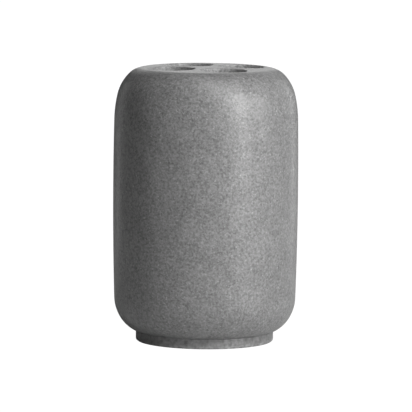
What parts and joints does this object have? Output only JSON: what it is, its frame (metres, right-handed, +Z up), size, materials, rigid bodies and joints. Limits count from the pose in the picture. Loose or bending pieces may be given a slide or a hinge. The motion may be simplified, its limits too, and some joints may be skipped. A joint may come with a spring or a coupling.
{
  "type": "toothbrush holder",
  "caption": "Countertop toothbrush holder in matte grey stone: a hollow, slightly barrel-shaped shell with round brush holes in its top, standing on a smaller round plug-in foot.",
  "frame": {"origin": "on the holder's axis, level with the undersides of the pads that it stands on", "axes": "+Z up along the holder's axis; the four brush holes and the four pads lie on the diagonals between X and Y"},
  "size_m": [0.075, 0.075, 0.1116],
  "materials": {
    "body_stone": "matte",
    "foot_stone": "matte",
    "seal_silicone": "satin",
    "pad_silicone": "matte"
  },
  "bodies": {
    "base": {"foot_base": "foot_stone", "seal_ring": "seal_silicone", "foot_pad_1": "pad_silicone", "foot_pad_2": "pad_silicone", "foot_pad_3": "pad_silicone", "foot_pad_4": "pad_silicone"},
    "shell": {"body_shell": "body_stone"}
  },
  "joints": [
    {"name": "shell_lift", "type": "slide", "parent": "base", "child": "shell", "axis": [0, 0, 1], "range_m": [0, 0.03]}
  ]
}
